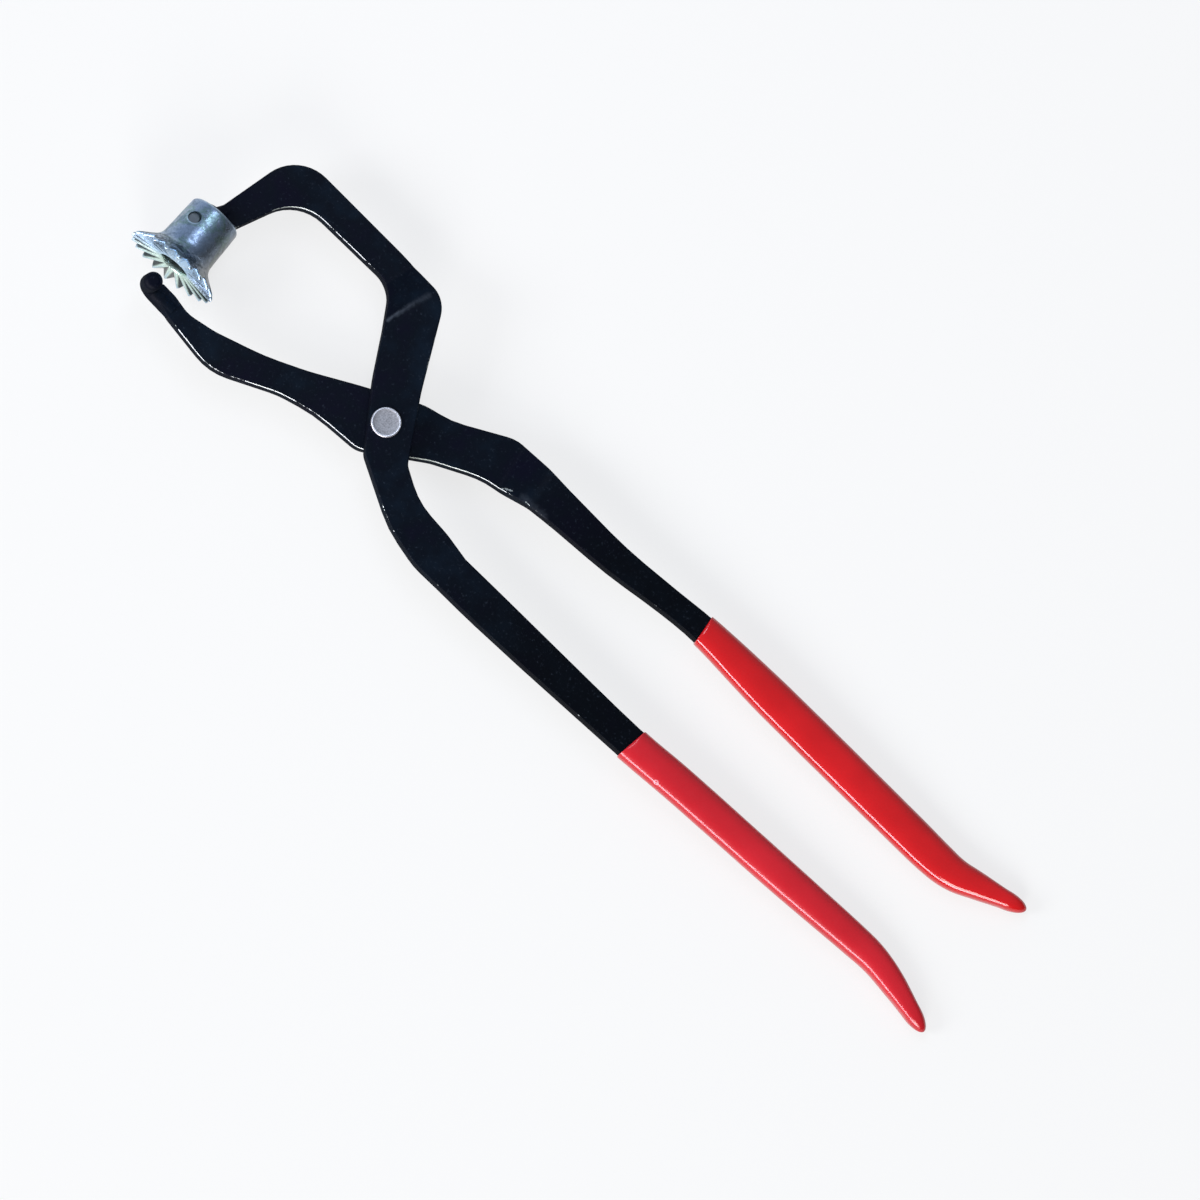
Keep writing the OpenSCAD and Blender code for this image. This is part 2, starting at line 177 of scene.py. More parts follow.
def placeCamera(settings):
    tilt = math.radians(settings["tilt"])
    turn = math.radians(settings["turn"])
    across = Vector((0, math.cos(tilt), math.sin(tilt)))
    along = Vector((1, 0, 0))
    right = along * math.cos(turn) + across * math.sin(turn)
    up = across * math.cos(turn) - along * math.sin(turn)
    towards = right.cross(up)
    half = settings["imagePixels"] / 2
    scale = settings["mmPerPixel"] * mm
    originX, originY = settings["originPixel"]
    target = right * (half - originX) * scale - up * (half - originY) * scale
    camera = addObject("camera", bpy.data.cameras.new("camera"))
    away = settings["distance"] + settings["measuredAt"] * mm
    standAt(camera, target + towards * away, right, up, towards)
    width = settings["imagePixels"] * scale
    camera.data.sensor_width = settings["sensor"]
    camera.data.lens = settings["sensor"] * settings["distance"] / width
    camera.data.clip_end = settings["farthest"]
    scene.camera = camera


placeCamera(cameraSettings)
print("camera placed")


studio = {
    "floorColour": "#f2f2f2",
    "floorBounce": "#a2a2a2",     # what the floor gives back to the tool's undersides
    "floorGlow": 0.74,            # share of plain white that the camera sees in the floor
    "floorSize": 16.0,            # metres
    "restSlope": 3.14,            # the tool rests on the crown's rim and the ends of the grips
    "rimCentre": (-79.9, 3.55),   # along X and Z
    "rimRadius": 15.85,
    "skyTop": "#7a828e",
    "skyLeft": "#c8d2e2",
    "skyRight": "#5c5750",
}


def makeFloor(settings):
    slope = math.radians(settings["restSlope"])
    normal = Vector((-math.sin(slope), 0, math.cos(slope)))
    centre = Vector((settings["rimCentre"][0], 0, settings["rimCentre"][1]))
    touch = (centre - normal * settings["rimRadius"]) * mm
    half = settings["floorSize"] / 2
    mesh = bpy.data.meshes.new("floor")
    mesh.from_pydata([(-half, -half, 0), (half, -half, 0), (half, half, 0), (-half, half, 0)],
                     [], [(0, 1, 2, 3)])
    floor = addObject("floor", mesh)
    floor.matrix_world = Matrix.Translation(touch) @ Matrix.Rotation(-slope, 4, "Y")
    # a pale card: the camera, reflections and clear things see it nearly white
    material, tree = newMaterial("matteWhiteCard")
    path = addNode(tree, "LightPath")
    seen = path.outputs["Is Camera Ray"]
    for ray in ("Is Glossy Ray", "Is Transmission Ray"):
        seen = addNode(tree, "Math", {"operation": "MAXIMUM"}, {0: seen, 1: path.outputs[ray]})
    colour = addNode(tree, "Mix", {"data_type": "RGBA", 6: settings["floorBounce"],
                     7: settings["floorColour"]}, {0: seen})
    card = addNode(tree, "BsdfDiffuse", {}, {"Color": colour.outputs[2]})
    glow = addNode(tree, "Emission", {"Color": "#ffffff", "Strength": 1.0})
    share = addNode(tree, "Math", {"operation": "MULTIPLY", 1: settings["floorGlow"]}, {0: seen})
    mix = addNode(tree, "MixShader", {}, {0: share, 1: card, 2: glow})
    addNode(tree, "OutputMaterial", {}, {"Surface": mix})
    mesh.materials.append(material)


def makeWorld(settings):
    world = bpy.data.worlds.new("softRoom")
    scene.world = world
    world.use_nodes = True
    tree = world.node_tree
    tree.nodes.clear()
    place = addNode(tree, "TexCoord")
    axes = addNode(tree, "SeparateXYZ", {}, {0: place.outputs["Generated"]})
    # a pale wall beyond the jaws, towards -X, a dim one beyond the grips, and a grey ceiling
    alongX = addNode(tree, "MapRange", {"From Min": -1.0, "From Max": 1.0},
                     {"Value": axes.outputs["X"]})
    wall = addNode(tree, "ValToRGB", {"ramp": [(0.25, settings["skyLeft"]),
                                               (0.75, settings["skyRight"])]}, {0: alongX})
    high = addNode(tree, "MapRange", {"From Min": 0.2, "From Max": 1.1},
                   {"Value": axes.outputs["Z"]})
    sky = addNode(tree, "Mix", {"data_type": "RGBA", 7: settings["skyTop"]}, {0: high, 6: wall})
    light = addNode(tree, "Background", {"Strength": 1.0}, {"Color": sky.outputs[2]})
    addNode(tree, "OutputWorld", {}, {"Surface": light})


# Each lamp: the point that it looks at, the direction from there, distance and size in metres,
# radiance and colour. The low one draws the bright lines along rounded edges and lights nothing
# else, and the streak lamp hangs close over the crown.
lamps = {
    "leftLamp": {"at": (80, 0, 5), "from": (-0.55, -0.66, 0.5), "distance": 3.0,
                 "size": (1.2, 1.2), "radiance": 10.0, "colour": "#fbfdff"},
    "rightLamp": {"at": (80, 0, 5), "from": (0.45, -0.72, 0.52), "distance": 3.0,
                  "size": (1.2, 1.2), "radiance": 10.0, "colour": "#fffdf8"},
    "lowLamp": {"at": (80, 0, 5), "from": (0.0, -0.955, 0.297), "distance": 2.0,
                "size": (3.2, 0.56), "radiance": 13.5, "colour": "#fbf1ff", "onlyGloss": True},
    "streakLamp": {"at": (-80, 2, 12), "from": (-0.1, 0.235, 0.967), "distance": 0.6,
                   "size": (0.14, 0.36), "radiance": 5.5, "colour": "#e6eeff"},
}


def addLamp(name, settings):
    direction = Vector(settings["from"]).normalized()
    width, height = settings["size"]
    data = bpy.data.lights.new(name, "AREA")
    data.shape = "RECTANGLE"
    data.size = width
    data.size_y = height
    data.energy = settings["radiance"] * math.pi * width * height
    data.color = linearColour(settings["colour"])[:3]
    lamp = addObject(name, data)
    place = Vector(settings["at"]) * mm + direction * settings["distance"]
    # the lamp's wide side stays level
    side = Vector((0, 0, 1)).cross(direction).normalized()
    standAt(lamp, place, side, direction.cross(side), direction)
    lamp.visible_camera = False
    lamp.visible_diffuse = not settings.get("onlyGloss", False)


makeFloor(studio)
makeWorld(studio)
for lampName, lampSettings in lamps.items():
    addLamp(lampName, lampSettings)
print("floor, world and lamps made")


enamelSettings = {
    "base": "#050c17",
    "bluish": "#0a1623",
    "purplish": "#07081a",
    "handle": "#010307",          # the handles' film is thicker and blacker
    "handleAlong": (30, 90),      # where it sets in, along X
    "handleShare": 0.75,
    "dust": "#39424f",
    "dustShare": 0.5,
    # pale colour for rubbed lines, and for the painted sheen on the hook lever's bend
    "rubbedAndSheen": "#59606c",
    "bareSteelAndHighlight": "#a3aaa8",
    "specular": 0.05,
    "roughness": 0.46,
    "bareRoughness": 0.4,
    "sideRoughness": 0.85,        # the cut sides under the film are left rough
    "cloudSize": 14.0,
    "patchSize": 16.0,
    "peelSize": 0.9,              # spray texture, drawn coarse enough to show
    "dustSize": 0.9,              # specks of dust, drawn coarse enough to show
    "chipSize": 1.3,
    "fleckSwing": 1.3,            # how far flecks and patches move the edge of the wear and painted highlight
    "patchSwing": 1.6,
    "bareAndLitFrom": (0.66, 0.84),     # wear and highlight value at which the film starts to go, and is gone
    "filmDepth": 1.6,             # depth of bare spots against the spray texture
    "relief": (0.35, 0.03),       # its strength and depth
}
# how ragged a line's edge is, and where it starts and ends to fade, in widths
chipEdge = {"ragged": 2.4, "full": 1.5, "gone": 1.7}
scuffAndSheenEdge = {"ragged": 1.6, "full": 0.6, "gone": 1.8}


def awayFromLine(tree, place, start, end):
    # distance from the line between two points
    start, line = Vector(start) * mm, (Vector(end) - Vector(start)) * mm
    direction = line.normalized()
    offset = addNode(tree, "VectorMath", {"operation": "SUBTRACT", 1: start}, {0: place})
    along = addNode(tree, "VectorMath", {"operation": "DOT_PRODUCT", 1: direction}, {0: offset})
    held = addNode(tree, "Clamp", {"Min": 0.0, "Max": line.length},
                   {"Value": along.outputs["Value"]})
    nearest = addNode(tree, "VectorMath", {"operation": "SCALE", 0: direction}, {"Scale": held})
    return addNode(tree, "VectorMath", {"operation": "DISTANCE"},
                   {0: offset, 1: nearest}).outputs["Value"]


def raggedLine(tree, place, flecks, mark, edge):
    # the mark's strength along its line, fading beside it, with an edge that the flecks break up
    width = mark["width"] * mm
    away = awayFromLine(tree, place, mark["from"], mark["to"])
    ragged = addNode(tree, "Math", {"operation": "MULTIPLY_ADD", 1: width * edge["ragged"]},
                     {0: flecks, 2: away})
    return addNode(tree, "MapRange", {"interpolation_type": "SMOOTHSTEP",
                   "From Min": width * edge["full"], "From Max": width * edge["gone"],
                   "To Min": mark["strength"], "To Max": 0.0}, {"Value": ragged})


def makeEnamel(name, settings, chips, scuffAndSheenMarks):
    # black enamel sprayed on steel bar: a near-black satin film with a faint blue cast, which
    # breaks to bright steel at its edges; on edges facing -Y this is real wear and a painted
    # highlight together
    material, tree = newMaterial(name)
    place = addNode(tree, "TexCoord").outputs["Object"]
    cloud = addNode(tree, "TexNoise", {"Scale": perMetre(settings["cloudSize"]), "Detail": 3.0,
                    "Roughness": 0.6}, {"Vector": place})
    film = addNode(tree, "ValToRGB", {"ramp": [(0.3, settings["purplish"]), (0.5, settings["base"]),
                                               (0.7, settings["bluish"])]}, {0: cloud})
    alongTool = addNode(tree, "SeparateXYZ", {}, {0: place}).outputs["X"]
    start, end = settings["handleAlong"]
    thick = addNode(tree, "MapRange", {"interpolation_type": "SMOOTHSTEP", "From Min": start * mm,
                    "From Max": end * mm, "To Max": settings["handleShare"]}, {"Value": alongTool})
    coat = addNode(tree, "Mix", {"data_type": "RGBA", 7: settings["handle"]}, {0: thick, 6: film})
    peel = addNode(tree, "TexNoise", {"Scale": perMetre(settings["peelSize"]), "Detail": 2.0},
                   {"Vector": place})
    flecks = addNode(tree, "TexNoise", {"Scale": perMetre(settings["chipSize"]), "Detail": 5.0,
                     "Roughness": 0.65}, {"Vector": place})
    patches = addNode(tree, "TexNoise", {"Scale": perMetre(settings["patchSize"]), "Detail": 2.0},
                      {"Vector": place})
    # the wear and painted highlight is 1 on the rounded edges and falls to 0 just inside them
    wear = addNode(tree, "Attribute", {"attribute_name": "edgeWear"}).outputs["Fac"]
    swings = [addNode(tree, "Math", {"operation": "MULTIPLY_ADD", 1: swing, 2: -swing / 2},
                      {0: pattern})
              for pattern, swing in ((flecks, settings["fleckSwing"]),
                                     (patches, settings["patchSwing"]))]
    for swing in swings:
        wear = addNode(tree, "Math", {"operation": "ADD"}, {0: wear, 1: swing})
    start, end = settings["bareAndLitFrom"]
    bareAndLit = addNode(tree, "MapRange", {"interpolation_type": "SMOOTHSTEP", "From Min": start,
                   "From Max": end}, {"Value": wear})
    # a chip is a knock through the film, a scuff is a pale rubbed line in it; on the hook lever's
    # second bend the pale line is a painted sheen
    for chip in chips:
        knock = raggedLine(tree, place, flecks, chip, chipEdge)
        bareAndLit = addNode(tree, "Math", {"operation": "MAXIMUM"}, {0: bareAndLit, 1: knock})
    rubbedAndSheen = None
    for scuffAndSheenMark in scuffAndSheenMarks:
        streak = raggedLine(tree, place, flecks, scuffAndSheenMark, scuffAndSheenEdge)
        rubbedAndSheen = streak if rubbedAndSheen is None else addNode(tree, "Math", {"operation": "MAXIMUM"},
                                                       {0: rubbedAndSheen, 1: streak})
    specks = addNode(tree, "TexNoise", {"Scale": perMetre(settings["dustSize"]), "Detail": 3.0,
                     "Roughness": 0.75}, {"Vector": place})
    dusty = addNode(tree, "MapRange", {"From Min": 0.6, "From Max": 0.76,
                    "To Max": settings["dustShare"]}, {"Value": specks})
    colour = coat
    for key, share in (("dust", dusty), ("rubbedAndSheen", rubbedAndSheen), ("bareSteelAndHighlight", bareAndLit)):
        colour = addNode(tree, "Mix", {"data_type": "RGBA", 7: settings[key]},
                         {0: share, 6: colour.outputs[2]})
    gloss = addNode(tree, "MapRange", {"To Min": settings["roughness"] - 0.06,
                    "To Max": settings["roughness"] + 0.1}, {"Value": patches})
    side = addNode(tree, "Attribute", {"attribute_name": "cutSide"})
    filmRoughness = addNode(tree, "Mix", {3: settings["sideRoughness"]},
                            {0: side.outputs["Fac"], 2: gloss})
    roughness = addNode(tree, "Mix", {3: settings["bareRoughness"]}, {0: bareAndLit, 2: filmRoughness})
    height = addNode(tree, "Math", {"operation": "MULTIPLY_ADD", 1: -settings["filmDepth"]},
                     {0: bareAndLit, 2: peel})
    finishMaterial(tree, height, settings["relief"], {"Specular IOR Level": settings["specular"]},
                   {"Base Color": colour.outputs[2], "Metallic": bareAndLit, "Roughness": roughness})
    return material


leverShape = {
    "bevel": 0.4,
    "bevelSegments": 3,
    "sharpAngle": 55,
    "smoothAngle": 48,
    "rimWear": 0.72,              # share of the wear and highlight value that is left where the rounding ends
    "plainWear": 0.3,             # edges that have kept their paint but for small nicks
    "fade": 6.0,                  # length over which a worn and lit stretch fades out
}
# wornAndLit: from and to along X, and the value on edges that face -Y, towards the low lamp, where
# real wear and a painted highlight are laid together. Welded: where the flat bar meets round bar,
# and how far around there its edges stay sharp.
crownLever = {
    "wornAndLit": [(-80, -33, 0.95), (4, 30, 0.42), (88, 122, 0.4)],
    "welded": [((-81.0, 15.3, 3.55), 4.0)],
    "chips": [
        {"from": (22.6, -23.2, 10.7), "to": (24.4, -22.9, 10.9), "width": 0.35, "strength": 1},
        {"from": (25.5, -22.9, 9.6), "to": (27.0, -22.9, 9.2), "width": 0.3, "strength": 1}],
    "scuffAndSheenMarks": [
        {"from": (-21.1, 23.8, 10.7), "to": (-20.4, 28.2, 10.8), "width": 0.9, "strength": 0.5},
        {"from": (-20.2, 27.2, 10.7), "to": (-18.8, 33.5, 10.8), "width": 1.2, "strength": 0.34},
        {"from": (-18.8, 33.5, 10.8), "to": (-17.2, 38.5, 11.0), "width": 1.5, "strength": 0.2}],
}
hookLever = {
    "wornAndLit": [(-66, 42, 1.0), (78, 112, 0.35)],
    "welded": [((-70.36, -18.4, 3.55), 3.3), ((-78.6, -15.4, 3.55), 3.2)],
    "chips": [
        {"from": (34.8, 9.3, 5.4), "to": (39.8, 11.1, 6.7), "width": 0.7, "strength": 1},
        {"from": (38.2, 10.8, 6.5), "to": (42.4, 12.2, 7.9), "width": 0.65, "strength": 1},
        {"from": (46.8, 11.8, 10.6), "to": (49.0, 11.8, 10.9), "width": 0.45, "strength": 1}],
    # the pale mark at the second bend is a painted sheen, not a rub
    "scuffAndSheenMarks": [
        {"from": (45.5, 12.6, 9.9), "to": (54.6, 12.3, 11.1), "width": 1.8, "strength": 0.2}],
}


def wearAt(x, facingLowLamp, shape, stretches):
    wornAndLit = shape["plainWear"]
    for start, end, most in stretches:
        inside = clamped(min(x - start, end - x) / shape["fade"] + 0.5)
        wornAndLit = max(wornAndLit, shape["plainWear"] + (most - shape["plainWear"]) * inside * facingLowLamp)
    return wornAndLit


def flattenFaces(bm):
    # the wide top and bottom faces are made exactly level, and cut into even triangles
    bm.normal_update()
    wide = [f for f in bm.faces if abs(f.normal.z) > 0.999 and f.calc_area() > 1e-4]
    for face in wide:
        level = sorted(v.co.z for v in face.verts)[len(face.verts) // 2]
        for vert in face.verts:
            vert.co.z = level
    bmesh.ops.triangulate(bm, faces=wide, ngon_method="BEAUTY")
    bm.normal_update()


def isWelded(edge, places):
    return any(all((v.co / mm - Vector(place)).length < reach for v in edge.verts)
               for place, reach in places)


def softenedBar(name, node, shape, lever, material, body):
    # the imported bar with its edges rounded over, and a band along them that carries the wear and
    # the painted highlight
    bm = bmesh.new()
    bm.from_mesh(cadNodes[node].data)
    bmesh.ops.remove_doubles(bm, verts=bm.verts, dist=1e-6)
    bmesh.ops.dissolve_limit(bm, angle_limit=math.radians(0.6), verts=bm.verts, edges=bm.edges)
    sharp = [e for e in bm.edges
             if e.is_manifold and e.calc_face_angle() > math.radians(shape["sharpAngle"])
             and not isWelded(e, lever["welded"])]
    wearLayer = bm.loops.layers.float.new("edgeWear")
    sideLayer = bm.loops.layers.float.new("cutSide")
    rounded = bmesh.ops.bevel(bm, geom=sharp, offset=shape["bevel"] * mm, offset_type="OFFSET",
                              segments=shape["bevelSegments"], profile=0.5, affect="EDGES",
                              clamp_overlap=False)
    flattenFaces(bm)
    edgeFaces = set(rounded["faces"])
    for face in edgeFaces:
        # edges facing -Y, towards the low lamp, take more of the bare steel colour: real wear with
        # a painted highlight
        facingLowLamp = clamped(-face.normal.y * 1.8)
        for loop in face.loops:
            onRim = any(f not in edgeFaces for f in loop.vert.link_faces)
            wornAndLit = wearAt(loop.vert.co.x / mm, facingLowLamp, shape, lever["wornAndLit"])
            loop[wearLayer] = wornAndLit * (shape["rimWear"] if onRim else 1)
    for face in bm.faces:
        steep = clamped(1.4 - 2 * abs(face.normal.z))
        for loop in face.loops:
            loop[sideLayer] = steep
    mesh = bpy.data.meshes.new(name)
    bm.to_mesh(mesh)
    bm.free()
    bar = addObject(name, mesh)
    shadeSmooth(bar, shape["smoothAngle"])
    firm = bar.modifiers.new("evenNormals", "WEIGHTED_NORMAL")
    firm.keep_sharp = True
    firm.weight = 60
    finishPiece(bar, material, body, node)
    print(name, len(mesh.vertices), "points")


for name, node, lever, coatName, body in (
        ("crownLeverBar", "crown_lever", crownLever, "blackEnamelCrownLever", "crown_side"),
        ("hookLeverBar", "hook_lever", hookLever, "blackEnamelHookLever", "hook_side")):
    coat = makeEnamel(coatName, enamelSettings, lever["chips"], lever["scuffAndSheenMarks"])
    softenedBar(name, node, leverShape, lever, coat, body)
print("levers made")


crownShape = {
    "place": (-80.9, 12.9, 3.55),  # centre of the socket's end
    "lean": 2.5,
    "length": 22.0,
    "boreRadius": 3.55,
    "boreBreak": (0.25, 0.3),     # the bore's broken edge, across and along
    "endRings": (5.2, 6.8),       # plain rings on the socket's end face
    "socketEndRadius": 8.7,
    "socketBaseRadius": 9.1,
    "endRound": 1.3,
    "rimRadius": 15.8,
    "rimThickness": 1.1,
    "bellRadius": 5.0,
    "bellAngle": 52.0,
    "dishRadius": 5.3,
    "dishDepth": 1.4,
    "cupRadius": 5.0,
    "cupDepth": 7.0,
    "cupLip": 0.3,
    "lipBreak": 0.15,
    "floorSlope": 0.8,
    "floorRound": 0.3,
    "floorRing": (4.3, 0.5),      # a ring on the cup's floor: its radius and height
    "grooves": 20,
    "columnsPerGroove": 14,
    "grooveDepthAtDish": 1.54,
    "grooveDepthAtRim": 2.2,
    "edgeRound": 0.28,
    "creaseRound": 0.1,
    "castWaviness": 0.05,
    "wavinessSize": 4.0,
    "pinOffset": -4.5,
    "pinAlong": 6.5,
    "pinRadius": 2.0,
    "pinLength": 11.0,
    "holeSides": 48,
    "smoothAngle": 38,
}
# rings of points along the stretches of the crown's section
crownRings = {"wall": 9, "bell": 8, "back": 8, "face": 18, "cup": 4}


def crownToTool(shape, x, y, z):
    # the crown's own axis runs from its socket end to its mouth, which is towards -Y
    lean = math.radians(shape["lean"])
    px, py, pz = shape["place"]
    return (px + x * math.cos(lean) + z * math.sin(lean),
            py + x * math.sin(lean) - z * math.cos(lean), pz + y)


def mouthAt(shape, r):
    # depths of the dish and of a groove's bottom, changing evenly from the dish's edge to the rim
    share = (r - shape["dishRadius"]) / (shape["rimRadius"] - shape["dishRadius"])
    deeper = shape["grooveDepthAtRim"] - shape["grooveDepthAtDish"]
    return shape["dishDepth"] * (1 - share), shape["grooveDepthAtDish"] + deeper * share


def grooveSteepness(shape):
    # how far across a groove's side goes as it rises by 1: neighbours meet in a ridge at the rim
    return shape["rimRadius"] * math.sin(math.pi / shape["grooves"]) / shape["grooveDepthAtRim"]


def crownColumns(shape):
    slope = math.tan(math.radians(shape["bellAngle"]))
    turn = math.radians(shape["bellAngle"])
    flareIn = shape["socketBaseRadius"] + shape["bellRadius"] * (1 - math.cos(turn))
    flareEnd = shape["length"] - shape["rimThickness"]
    bellStart = flareEnd - (shape["rimRadius"] - flareIn) / slope \
        - shape["bellRadius"] * math.sin(turn)
    half = math.pi / shape["grooves"]
    steep = grooveSteepness(shape)

    def backZ(r):
        return flareEnd - (shape["rimRadius"] - r) / slope

    def frontZ(r, angle):
        dish, bottom = mouthAt(shape, r)
        # across from the nearest groove's bottom, with the bottom and the ridge rounded over
        k = shape["creaseRound"]
        across = math.hypot(r * math.sin(abs(angle)), k)
        ridge = r * math.sin(half)
        across = ridge - math.hypot(ridge - across, k)
        groove = bottom - across / steep
        return shape["length"] - 0.5 * (dish + groove + math.hypot(dish - groove, k))

    def rimEdge(angle):
        # a groove cuts the rim back to where the crown is as thick as its rounded edge, which is
        # found by halving
        thin = 2 * shape["edgeRound"]
        inside, outside = shape["rimRadius"] - 4, shape["rimRadius"]
        if frontZ(outside, angle) - backZ(outside) < thin:
            for _ in range(24):
                middle = (inside + outside) / 2
                if frontZ(middle, angle) - backZ(middle) < thin:
                    outside = middle
                else:
                    inside = middle
        return outside

    boreRadius, rounding = shape["boreRadius"], shape["endRound"]
    breakAcross, breakAlong = shape["boreBreak"]
    endRadius, baseRadius = shape["socketEndRadius"], shape["socketBaseRadius"]
    socket = [(boreRadius, breakAlong), (boreRadius + breakAcross, 0)]
    socket += [(r, 0) for r in shape["endRings"]]
    socket += arcPoints(endRadius - rounding, rounding, rounding, range(-90, 1, 15))
    socket += zip(between(endRadius, baseRadius, crownRings["wall"]),
                  between(rounding, bellStart, crownRings["wall"]))
    socket += arcPoints(baseRadius + shape["bellRadius"], bellStart, shape["bellRadius"],
                        between(180, 180 - shape["bellAngle"], crownRings["bell"]))

    cupRadius, lipBreak = shape["cupRadius"], shape["lipBreak"]
    floorZ = shape["length"] - shape["cupDepth"]
    lipZ = shape["length"] - shape["dishDepth"] - shape["cupLip"]
    floorEdge = floorZ + shape["floorSlope"]
    cup = [(cupRadius + lipBreak, lipZ + 0.1), (cupRadius, lipZ - lipBreak)]
    cup += [(cupRadius, z) for z in between(lipZ - lipBreak, floorEdge + shape["floorRound"],
                                            crownRings["cup"])]
    ringRadius, ringHeight = shape["floorRing"]
    cup += [(cupRadius - shape["floorRound"], floorEdge), (ringRadius, floorZ + ringHeight),
            (boreRadius, floorZ)]
    cup += [(boreRadius, floorZ * t) for t in (0.75, 0.5, 0.25)]

    columns = []
    perGroove = shape["columnsPerGroove"]
    rounding = shape["edgeRound"]
    for j in range(shape["grooves"] * perGroove):
        # a groove's bottom lies on every perGroove-th column
        angle = (j % perGroove) / perGroove
        angle = (angle if angle <= 0.5 else angle - 1) * 2 * half
        edge = rimEdge(angle) - rounding
        back = [(r, backZ(r)) for r in between(flareIn, edge, crownRings["back"])]
        rim = arcPoints(edge, backZ(edge) + rounding, rounding, (-60, -30, 0))
        rim += arcPoints(edge, frontZ(edge, angle) - rounding, rounding, (0, 30, 60))
        face = [(r, frontZ(r, angle))
                for r in [edge] + between(edge, shape["dishRadius"], crownRings["face"])]
        columns.append(socket + back + rim + face + cup)
    return columns


def makeCrown(shape, material):
    columns = crownColumns(shape)
    rows = len(columns[0])
    count = len(columns)
    points = []
    for i in range(rows):
        for j in range(count):
            r, z = columns[j][i]
            turn = 2 * math.pi * (j / count + 0.5 / shape["grooves"])
            x, y = r * math.cos(turn), r * math.sin(turn)
            if r > shape["boreRadius"] + 0.5:
                # the casting isn't quite even
                wave = 0.5 + noise.noise(Vector((x, y, z)) / shape["wavinessSize"])
                inward = 1 - wave * shape["castWaviness"] / r
                x, y = x * inward, y * inward
            points.append(crownToTool(shape, x, y, z))
    faces = [tuple(reversed(f)) for f in ringFaces(rows, count)]
    last = (rows - 1) * count
    faces += [(k, (k + 1) % count, last + (k + 1) % count, last + k) for k in range(count)]
    crown = makePiece("crownCasting", points, faces, material, "crown_head", "crown")
    drill = pinDrill(shape)
    cut = crown.modifiers.new("pinHole", "BOOLEAN")
    cut.operation = "DIFFERENCE"
    cut.solver = "EXACT"
    cut.object = drill
    applyModifiers(crown)
    bpy.data.objects.remove(drill)
    markCrown(crown, shape)
    shadeSmooth(crown, shape["smoothAngle"])
    print("crownCasting", len(crown.data.vertices), "points")


def pinDrill(shape):
    # the pin lies across the crown's axis, level with the floor of the jaw
    mesh = bpy.data.meshes.new("crownPinDrill")
    bm = bmesh.new()
    radius = shape["pinRadius"] * mm
    bmesh.ops.create_cone(bm, cap_ends=True, segments=shape["holeSides"], radius1=radius,
                          radius2=radius, depth=shape["socketBaseRadius"] * 3 * mm)
    centre = Vector(crownToTool(shape, shape["pinOffset"], 0, shape["pinAlong"])) * mm
    bmesh.ops.transform(bm, matrix=Matrix.Translation(centre), verts=bm.verts)
    bm.to_mesh(mesh)
    bm.free()
    return addObject("crownPinDrill", mesh)


# where each finish on the crown starts, and the length over which it comes in
crownMarks = {
    "mouth": (0, 0.6),            # depth in front of the bell's back
    "ridge": (0.8, 0.2),          # share of the way from a groove's bottom to its ridge
    "ridgeOut": (0, 4.0),         # distance out from the dish
    "rim": (-0.7, 0.4),           # distance out from the rim
    "grooveShade": (0.1, 0.35),          # depth of a groove's side below the dish
    "grooveShadeShare": 0.95,
    "litUpward": (0.2, 0.4),          # towards +Z, where the grooves get little painted shade
    "litUpwardShare": 0.85,
    "flare": (0.3, 1.6),          # distance out from the socket
    "flareStart": 12,             # along the crown
    "cup": (-0.15, 0.15),         # distance in from the cup's wall
    "cupDeep": (1.6, 0.8),        # depth from the mouth
    "cupLow": 0.55,               # how much less painted shade the cup has on its -Z side
    "hole": (0.5, 0.4),           # distance in from the socket's wall
    "holeAlong": (3, 10),
    "endEdge": 0.6,               # share of the lighter ridge colour on the socket's end edge: rubbed zinc and a painted highlight
}


